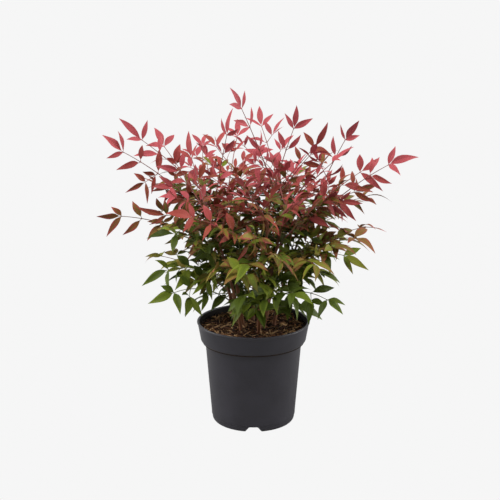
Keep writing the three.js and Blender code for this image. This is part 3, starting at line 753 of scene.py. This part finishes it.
def plain_mesh(name, points, faces):
    mesh = bpy.data.meshes.new(name)
    mesh.from_pydata([tuple(np.asarray(p) * MM) for p in points], [], faces)
    work = bmesh.new()
    work.from_mesh(mesh)
    bmesh.ops.recalc_face_normals(work, faces=work.faces)
    work.to_mesh(mesh)
    work.free()
    return mesh


def make_pot():
    mesh = plain_mesh("pot_shell", *revolve(pot_profile(), POT_SIDES))
    mesh.materials.append(pot_paint())
    # painted shade: the inside wall above the soil gets a near-black brown paint
    mesh.materials.append(soil_paint("pot_inside", "16130f", "1f1b18", 120, 0.0002))
    shell = piece("pot_shell", mesh, ["pot"])
    cutters = []
    for k, azimuth in enumerate(CHANNELS):
        name = f"arch_{k}"
        cutters.append(put(name, plain_mesh(name, *arch_cutter(azimuth))))
        cut = shell.modifiers.new(name, "BOOLEAN")
        cut.object, cut.operation, cut.solver = cutters[k], "DIFFERENCE", "EXACT"
    graph = bpy.context.evaluated_depsgraph_get()
    done = bpy.data.meshes.new_from_object(shell.evaluated_get(graph))
    shell.modifiers.clear()
    shell.data = done
    for cutter in cutters:
        bpy.data.objects.remove(cutter)
    done.polygons.foreach_set("use_smooth", [True] * len(done.polygons))
    done.set_sharp_from_angle(angle=math.radians(SHARP))
    for face in done.polygons:
        x, y, z = face.center / MM
        if FLOOR_Z < z < POT_HEIGHT - 2 and math.hypot(x, y) < inner_radius(z) + 0.5:
            face.material_index = 1  # painted shade: the inside wall above the soil is painted near black


# ---- soil

SOIL_RINGS, SOIL_SIDES = 44, 150
SOIL_BOTTOM = 140
SOIL_LOW, SOIL_WALL, SOIL_SLOPE = 0.6, 3.5, (62, 90)  # below SOIL_Z, and more towards the wall
MOUND, MOUND_WIDE = 1.6, 60  # heap round a cane: its height, and its width squared
CANE_AIR = 4.5  # nothing is scattered nearer to a cane's middle


def soil_height(x, y, canes):
    """The soil's surface: rough, a little higher at the wall and heaped round each cane."""
    z = SOIL_Z - SOIL_LOW + SOIL_WALL * ease(math.hypot(x, y), *SOIL_SLOPE)
    z += 2.0 * noise.fractal(Vector((x * 0.035, y * 0.035, 3.1)), 0.9, 2.2, 4)
    z += 1.0 * noise.noise(Vector((x * 0.3, y * 0.3, 7.7)))
    for foot, _, _ in canes:
        z += MOUND * math.exp(-((x - foot[0]) ** 2 + (y - foot[1]) ** 2) / MOUND_WIDE)
    return z


def make_soil(canes):
    bed = Heap("soil_bed", [soil_paint("peat", "170f0a", "36261a", 300, 0.0016)])
    edge = inner_radius(SOIL_Z) - 0.2
    flat = [(math.cos(a), math.sin(a)) for a in circle(SOIL_SIDES)]
    points = []
    for k in range(1, SOIL_RINGS + 1):
        r = edge * (k / SOIL_RINGS) ** 0.8
        points += [(r * x, r * y, soil_height(r * x, r * y, canes)) for x, y in flat]
    r = edge * 0.96
    points += [(r * x, r * y, SOIL_BOTTOM) for x, y in flat]
    points += [(0, 0, soil_height(0, 0, canes)), (0, 0, SOIL_BOTTOM)]
    # the rings run from the top down, so each face is turned over
    bed.add(points, [(face[0], *face[:0:-1]) for face in capped(SOIL_RINGS + 1, SOIL_SIDES)])
    bed.make("soil", ["soil"])
    scatter_chips(canes)
    scatter_fibres(canes)
    scatter_grains(canes)


def spot(draw, canes, radius, front=0.0):
    """A random place on the soil. With front, places at the front and left are likelier."""
    while True:
        x, y, _ = polar(draw(0, 360), radius * math.sqrt(draw()), 0)
        favour = 0.5 - 0.5 * (0.75 * y + 0.5 * x) / radius
        if draw() > lerp(1, favour, front):
            continue
        if min(math.hypot(x - foot[0], y - foot[1]) for foot, _, _ in canes) >= CANE_AIR:
            return np.array([x, y, soil_height(x, y, canes)])


CHIPS, CHIP_STATIONS = 1300, 5
CHIP_LONG, CHIP_WIDE, CHIP_THICK = (3.5, 27), (1.4, 3.6), (0.7, 1.8)
PALE_CHIPS = 0.54
CHIP_COLOURS = (("1c120b", "36241a"), ("38221a", "5c3c28"), ("634228", "946b45"),
                ("9c7751", "d0ac82"))


def sliver(draw, centre, long, wide, thick, azimuth, pitch, lean):
    """A torn piece of bark: a bent bar with uneven sides and ragged ends."""
    d = toward(azimuth, pitch)
    level = unit(cross(d, UP))
    side = level * math.cos(lean) + cross(level, d) * math.sin(lean)
    up = cross(side, d)
    points = []
    bend = draw(-0.12, 0.12)
    for k in range(CHIP_STATIONS):
        u = k / (CHIP_STATIONS - 1) - 0.5
        taper = 1 - 1.2 * u * u * draw(0.4, 1.6)
        middle = centre + d * long * u * draw(0.95, 1.05) + up * bend * long * (u * u - 0.1)
        for s, n in ((-1, -1), (1, -1), (1, 1), (-1, 1)):
            points.append(middle + side * s * wide / 2 * taper * draw(0.7, 1.2)
                          + up * n * thick / 2 * taper * draw(0.7, 1.2)
                          + d * draw(-0.06, 0.06) * long)
    return points, rings(CHIP_STATIONS, 4)


def scatter_chips(canes):
    chips = Heap("bark_chips", [soil_paint(f"bark_chip_{k}", dark, light, 420, 0.0006)
                                for k, (dark, light) in enumerate(CHIP_COLOURS)])
    draw = stream(77)
    for _ in range(CHIPS):
        size = draw() ** 1.7
        long = lerp(*CHIP_LONG, size)
        p = spot(draw, canes, inner_radius(SOIL_Z) - 2.5 - long * 0.4, 0.35)
        pale = draw() < PALE_CHIPS
        kind = min(3, int(draw(1.2, 4))) if pale else int(draw(0, 1.9))
        p += UP * draw(0.2, 2.6)
        wide = lerp(*CHIP_WIDE, draw()) * (0.6 + 0.5 * size)
        points, faces = sliver(
            draw, p, long, wide, draw(*CHIP_THICK),
            draw(0, 360), draw(-16, 22), math.radians(draw(-50, 50)))
        chips.add(points, faces, kind)
    chips.make("soil", [], smooth=False)


FIBRES, FIBRE_STEPS, FIBRE_LONG = 420, 8, (6, 26)
PALE_FIBRES = 0.6


def scatter_fibres(canes):
    fibres = Heap("soil_fibres", [
        soil_paint("fibre_dark", "4a2f1c", "74502f", 300, 0.0003),
        soil_paint("fibre_pale", "94704a", "c09a6c", 300, 0.0003)])
    draw = stream(78)
    steps = [k / FIBRE_STEPS for k in range(FIBRE_STEPS + 1)]
    for _ in range(FIBRES):
        long = lerp(*FIBRE_LONG, draw() ** 1.5)
        p = spot(draw, canes, inner_radius(SOIL_Z) - 3 - long * 0.5, 0.7)
        azimuth, bend = draw(0, 360), math.degrees(draw(-2.2, 2.2))
        points, lift = [], draw(0.5, 2.6)
        place = p - polar(azimuth, long / 2, 0)
        for u in steps:
            place = place + polar(azimuth + bend * (u - 0.5), long / FIBRE_STEPS, 0)
            ground = soil_height(place[0], place[1], canes)
            points.append((place[0], place[1], ground + 0.6 + lift * math.sin(math.pi * u)))
        points, faces = tube(points, [0.28 + 0.16 * math.sin(math.pi * u) for u in steps], 5)
        fibres.add(points, faces, int(draw() < PALE_FIBRES))
    fibres.make("soil", [])


# White perlite grains and dark crumbs of peat: paint, count, least and greatest radius
GRAINS = (("perlite", ("perlite", "b9b2a6", "e4dfd6", 500, 0.0005), 46, 0.7, 1.6),
          ("peat_crumbs", ("peat_crumb", "150e0a", "33231a", 400, 0.0008), 700, 0.8, 2.3))


def scatter_grains(canes):
    base = bmesh.new()
    bmesh.ops.create_icosphere(base, subdivisions=2, radius=1)
    ball = np.array([v.co for v in base.verts])
    faces = [tuple(v.index for v in face.verts) for face in base.faces]
    base.free()
    draw = stream(79)
    for name, paint, count, low, high in GRAINS:
        grains = Heap(name, [soil_paint(*paint)])
        for k in range(count):
            p = spot(draw, canes, inner_radius(SOIL_Z) - 3)
            size = lerp(low, high, draw() ** 2)
            shape = ball * np.array([draw(0.8, 1.3), draw(0.8, 1.3), draw(0.6, 1)]) * size
            rough = np.array([1 + 0.35 * noise.noise(Vector(v * 1.7) + Vector((k, 0, 0)))
                              for v in ball])
            grains.add(shape * rough[:, None] + p + UP * size * 0.35, faces)
        grains.make("soil", [])


# ---- canes

CANE_RINGS, CANE_SIDES = 170, 18
SUNK = -0.012  # where a cane's mesh starts, in the soil
SWELLING, SWOLLEN = 0.22, 2.2  # of a cane at its nodes: over its radius, and to either side
YOUNG_BARK = 0.62  # from here up a cane has its young bark
SHEATH_DOWN = 9


def bark_relief(i, z):
    """What a ring of a cane's mesh is wider by: long ridges, coarse lumps and fine ones."""
    def lump(a, size, step):
        return noise.noise(Vector((math.cos(a) * size, math.sin(a) * size, z * step + i * 9)))
    return np.array([1 + 0.07 * math.sin(2 * a + i) + 0.12 * lump(a, 1.6, 0.05)
                     + 0.05 * lump(a, 5, 0.3) for a in circle(CANE_SIDES)])


def make_canes(canes, fronds):
    paints = [bark_paint("cane_bark", "4a2b19", "8a5a38"),
              bark_paint("cane_young", "5a3323", "85523b")]
    places = np.linspace(SUNK, 1, CANE_RINGS)
    for i, cane in enumerate(canes):
        heap = Heap(f"cane_{i + 1}", paints)
        length = np.linalg.norm(cane[2] - cane[0])
        nodes = [node_at(i, j) for j in range(fronds_on(i))]
        radii = []
        for t in places:
            near = min((abs(t - n) * length for n in nodes))
            radii.append(cane_radius(max(t, 0))
                         * (1 + SWELLING * math.exp(-((near / SWOLLEN) ** 2))))
        relief = [bark_relief(i, t * length) for t in places]
        shape, faces = tube([at(cane, t) for t in places], radii, CANE_SIDES, relief)
        young = [int(places[k // CANE_SIDES] > YOUNG_BARK) for k in range(len(faces) - 2)]
        heap.add(shape, faces, young + [0, 1])
        for frond in (f for f in fronds if f["cane"] == i):
            add_sheath(heap, cane, frond, length)
        heap.make("stem", [f"stem_{i + 1}"])


def add_sheath(heap, cane, frond, length):
    """A leaf's base, which clasps the cane and narrows into the rib."""
    t = frond["t"]
    down = min(SHEATH_DOWN / length, t)
    r = cane_radius(t)
    start, middle = at(cane, t - down), at(cane, t - down * 0.3)
    way = along(frond["curve"], 0.02)
    out = unit(way - along(cane, t) * (way @ along(cane, t)) + 1e-6)
    points = [start + out * r * 0.2, middle + out * r * 0.55, frond["start"] + out * r * 0.6 + way]
    points += [at(frond["curve"], s / frond["length"]) for s in (5, 8.5, 12)]
    shape, faces = tube(points, [r * 0.9, r * 1.05, r * 0.95 + 0.3, 1.75, 1.35, 1.1], 9)
    heap.add(shape, faces, int(t > 0.5))


# ---- foliage

# Leaf colours from an old shaded leaf to a young one, with STEPS tints from the first on
TINTS = ("3f4c15", "6a7624", "776a2c", "7c5130", "9b463d", "b35257")
STEPS = 15
# Lighter and darker copies of each tint: partly a leaf's own tone, drawn at random, and partly
# painted light and shade. The darkest is only painted shade.
SHADES = (0.42, 0.85, 1.13, 1.34)
RED_CONTRAST = 0.28  # how much the shades count for the youngest tint
OPEN, DEEP_SHADE = 0.8, 3.4  # outness that has full light, and painted shade: how many shades darker a leaf is painted from there to the crown's middle, where little light gets in
# heights where the painted shade starts and where it is complete, going down; heights over which
# it lessens towards the foot, and its share there
DEEP_SHADE_TOP, DEEP_SHADE_FOOT, LOW_DEEP_SHADE = (MID_Z + 20, MID_Z - 40), (250, 320), 0.3
MIXED_FROM, MIXED_TO, MIXED_STEPS = 2, 11, 3  # tints whose leaves have a redder edge
COLOURS = ("dark_green", "green", "olive", "bronze", "red", "coral")  # of the pieces

# A leaf's outline: places along it, half its width there, and places across it
ALONG = np.array([0, 0.05, 0.13, 0.25, 0.39, 0.53, 0.66, 0.78, 0.88, 0.95, 1])
HALVES = np.array([0.05, 0.1, 0.42, 0.8, 1, 0.98, 0.8, 0.54, 0.29, 0.12, 0])
ACROSS = np.array([-1, -0.55, -0.06, 0.06, 0.55, 1])
EDGE_FROM, POINT_FROM, MIDRIB_TO = 0.35, 0.75, 0.9

# Its form, where one number is the most to either side
FOLDS, TWIST, SICKLE = (0.15, 0.6), 0.45, 0.1
WAVES, WAVE_PHASES, WAVE_STEP, WAVE_SHIFT = (0.02, 0.09), (0, 6.28), 8.5, 1.2
CURL_LEAST, CURL_HIGH, CURL_LOW = 0.02, 0.14, 0.4
LOOSE_HEIGHTS, LOOSE_SAG = (490, 420), 0.12  # below them leaves curl and sag more
HIGH_SLIM = 0.86


def tint(step, shade):
    place = step / STEPS * (len(TINTS) - 1)
    low = min(int(place), len(TINTS) - 2)
    a, b = np.array(linear(TINTS[low])), np.array(linear(TINTS[low + 1]))
    light = SHADES[shade] ** lerp(1, RED_CONTRAST, step / STEPS)
    return tuple(np.clip(lerp(a, b, place - low) * light, 0, 1))


def leaf_faces():
    """Faces of the leaf, each with its paint: 0 the blade, 1 its edge and point, 2 the midrib."""
    columns, rows = len(ACROSS), len(ALONG) - 1
    faces, kinds = [], []
    for r, place in enumerate(ALONG[:-1]):
        for c in range(columns - 1):
            a = r * columns + c
            if r < rows - 1:
                faces.append((a, a + 1, a + 1 + columns, a + columns))
            else:
                faces.append((a, a + 1, rows * columns))
            edge = c in (0, columns - 2) and place > EDGE_FROM or place > POINT_FROM
            kinds.append(2 if c == 2 and place < MIDRIB_TO else int(edge))
    return faces, np.array(kinds)


def leaf_points(leaf, draw):
    """The leaf's points: folded along its midrib, sagging, and a little twisted and wavy."""
    u = np.append(np.repeat(ALONG[:-1], len(ACROSS)), 1.0)
    v = np.append(np.tile(ACROSS, len(ALONG) - 1), 0.0)
    w = np.append(np.repeat(HALVES[:-1], len(ACROSS)), 0.0)
    span, axis = leaf["span"], leaf["axis"]
    wide = leaf["wide"] * lerp(1, HIGH_SLIM, leaf["rise"])
    normal = cross(axis, leaf["across"])
    fold, twist, sickle = draw(*FOLDS), draw(-TWIST, TWIST), draw(-SICKLE, SICKLE)
    loose = ease(leaf["base"][2], *LOOSE_HEIGHTS)
    phase, wave = draw(*WAVE_PHASES), draw(*WAVES)
    curl = draw(CURL_LEAST, lerp(CURL_HIGH, CURL_LOW, loose))
    side = w * v * wide / 2
    lift = wide / 2 * w * (fold * np.abs(v) - 0.45 * fold * v * v)
    lift += wide * wave * np.abs(v) * w * np.sin(WAVE_STEP * u + phase + WAVE_SHIFT * np.sign(v))
    c, s = np.cos(twist * u)[:, None], np.sin(twist * u)[:, None]
    across = leaf["across"] * c + normal * s
    rise = normal * c - leaf["across"] * s
    points = leaf["base"] + axis * (span * u)[:, None]
    points += across * (side + sickle * span * u * u)[:, None]
    points += rise * (lift - curl * span * u ** 3)[:, None]
    points[:, 2] -= (leaf["sag"] + LOOSE_SAG * loose * leaf["rise"]) * span * u * u
    return points, np.stack([u, v * w], 1)


def mass_of(frond):
    i, j = frond["cane"], frond["node"]
    return f"crown_{i + 1}" if j >= fronds_on(i) - CROWN_FRONDS else f"frond_{i + 1}_{j + 1}"


def make_leaves(fronds):
    faces, kinds = leaf_faces()
    paints = {}
    heaps = [Heap(f"leaves_{colour}", []) for colour in COLOURS]
    masses = [set() for _ in COLOURS]

    def kind_in(heap, step, shade):
        key = (min(step, STEPS), shade)
        if key not in paints:
            paints[key] = leaf_paint(f"leaf_{key[0]:02d}_{key[1]}", tint(*key))
        if paints[key] not in heap.paints:
            heap.paints.append(paints[key])
        return heap.paints.index(paints[key])

    draw = stream(SEED * 31)
    for frond in fronds:
        for leaf in frond["leaves"]:
            base, step = leaf["base"], round(leaf["age"] * STEPS)
            group = round(leaf["age"] * (len(COLOURS) - 1))
            # painted shade: leaves deep inside the crown are painted with darker shades
            deep_shade = DEEP_SHADE * max(0, OPEN - outness(base)) * ease(base[2], *DEEP_SHADE_TOP)
            deep_shade *= lerp(LOW_DEEP_SHADE, 1, ease(base[2], *DEEP_SHADE_FOOT))
            shade = max(0, int(draw(1, len(SHADES) - 0.001) - deep_shade))
            mixed = MIXED_STEPS * mid_height(base) if MIXED_FROM < step < MIXED_TO else 0
            redder = int(draw(0, 2) + mixed)
            midrib = shade + 1 if shade < len(SHADES) - 1 else shade - 1
            own = [kind_in(heaps[group], *key)
                   for key in ((step, shade), (step + redder, shade), (step, midrib))]
            points, uvs = leaf_points(leaf, draw)
            heaps[group].add(points, faces, np.array(own)[kinds], uvs)
            masses[group].add(mass_of(frond))
    for heap, colour, mass in zip(heaps, COLOURS, masses):
        heap.make(f"leaf_{colour}", sorted(mass))


RIB_FOOT, RIB_TIP = 1.15, 0.5
JOINT, JOINT_LONG = 0.45, 1.3  # a rib's swelling at its nodes: over its radius, and its length
JOINT_PLACES = np.array([-1.6, -0.8, 0, 0.8, 1.6])
STALK_RADIUS, STALK_TAPER, STALK_FOOT = 0.62, 0.22, 0.2
RIBS = (("green", "5a5f2c"), ("bronze", "6c4431"), ("red", "84443c"))


def make_ribs(fronds):
    stalk_steps = np.linspace(0, 1, 6)
    stalk_radii = [STALK_RADIUS - STALK_TAPER * t + STALK_FOOT * math.exp(-((t * 8) ** 2))
                   for t in stalk_steps]
    for k, (colour, code) in enumerate(RIBS):
        heap = Heap(f"ribs_{colour}", [twig_paint(f"ribs_{colour}_skin", code)])
        masses = set()
        for frond in fronds:
            if min(len(RIBS) - 1, int(frond["age"] * len(RIBS))) != k:
                continue
            masses.add(mass_of(frond))
            length, joints = frond["length"], frond["joints"]
            places = np.unique(np.concatenate(
                [np.linspace(0.02, 1, 26)] + [JOINT_PLACES / length + t for t in joints]))
            places = places[(places > 0) & (places <= 1)]
            radii = []
            for t in places:
                near = min(abs(t - n) for n in joints) * length
                radii.append(lerp(RIB_FOOT, RIB_TIP, t ** 0.8)
                             * (1 + JOINT * math.exp(-(near / JOINT_LONG) ** 2)))
            heap.add(*tube([at(frond["curve"], t) for t in places], radii, 7))
            for start, end in frond["stalks"]:
                heap.add(*tube([lerp(start, end, t) for t in stalk_steps], stalk_radii, 6))
        heap.make(f"leaf_{colour}", sorted(masses))


# ---- stage

BACKGROUND = 0.9216  # sRGB 246
FOCAL = 1349  # in pixels of a 500 pixel frame
FRAME = 500
SENSOR = 36
PITCH_DOWN = 15.04
CAMERA = (-0.00575, -2.1712, 0.882)
FLOOR_SIZE, FLOOR_DROP, FLOOR_GREY = 30.0, 0.0003, 0.42
WHITE = (1, 1, 1, 1)


def make_camera():
    data = bpy.data.cameras.new("camera")
    data.sensor_width = SENSOR
    data.lens = FOCAL / FRAME * SENSOR
    data.clip_end = 100
    camera = put("camera", data)
    camera.location = CAMERA
    camera.rotation_euler = (math.radians(90 - PITCH_DOWN), 0, 0)
    bpy.context.scene.camera = camera


def make_sun(name, azimuth, elevation, strength, angle):
    data = bpy.data.lights.new(name, "SUN")
    data.energy = strength
    data.angle = math.radians(angle)
    way = Vector(toward(azimuth, elevation))
    put(name, data).rotation_euler = way.to_track_quat("Z", "Y").to_euler()


def glow(tree, kind, strength):
    node = tree.nodes.new(kind)
    node.inputs["Color"].default_value = WHITE
    node.inputs["Strength"].default_value = strength
    return node.outputs[0]


def choose(tree, ray, yes, no):
    """One shader for rays of that kind and another for all others."""
    mix = tree.nodes.new("ShaderNodeMixShader")
    tree.links.new(tree.nodes.new("ShaderNodeLightPath").outputs[ray], mix.inputs["Fac"])
    tree.links.new(no, mix.inputs[1])
    tree.links.new(yes, mix.inputs[2])
    return mix.outputs["Shader"]


def make_world(fill, gloss):
    """White for the camera, gloss for what shiny surfaces mirror, and fill for all other light."""
    world = bpy.context.scene.world or bpy.data.worlds.new("studio")
    bpy.context.scene.world = world
    world.use_nodes = True
    tree = world.node_tree
    tree.nodes.clear()
    seen, mirrored, lit = (
        glow(tree, "ShaderNodeBackground", strength) for strength in (BACKGROUND, gloss, fill))
    end = tree.nodes.new("ShaderNodeOutputWorld")
    unseen = choose(tree, "Is Glossy Ray", mirrored, lit)
    tree.links.new(choose(tree, "Is Camera Ray", seen, unseen), end.inputs["Surface"])


def make_floor():
    mesh = bpy.data.meshes.new("floor")
    corners = ((-1, -1), (1, -1), (1, 1), (-1, 1))
    mesh.from_pydata([(x * FLOOR_SIZE, y * FLOOR_SIZE, -FLOOR_DROP) for x, y in corners], [],
                     [(0, 1, 2, 3)])
    floor = put("floor", mesh)
    paint = Paint("floor", (FLOOR_GREY, FLOOR_GREY, FLOOR_GREY), 0.9, 0.0)
    mesh.materials.append(paint.material)
    seen = glow(paint.tree, "ShaderNodeEmission", BACKGROUND)
    surface = choose(paint.tree, "Is Camera Ray", seen, paint.bsdf.outputs[0])
    paint.tree.links.new(surface, paint.tree.nodes["Material Output"].inputs["Surface"])


# ---- main

make_camera()
scene = bpy.context.scene
scene.view_settings.view_transform = "Standard"
scene.view_settings.look = "None"
make_world(fill=0.17, gloss=1.0)
make_sun("key", azimuth=-102, elevation=60, strength=2.6, angle=30)
make_sun("left", azimuth=174, elevation=15, strength=1.9, angle=40)
make_sun("right", azimuth=6, elevation=15, strength=2.1, angle=40)
make_floor()

canes = place_canes()
fronds = place_fronds(canes)
for frond in fronds:
    grow(frond)
    fill(frond)
make_pot()
make_soil(canes)
make_canes(canes, fronds)
make_ribs(fronds)
make_leaves(fronds)
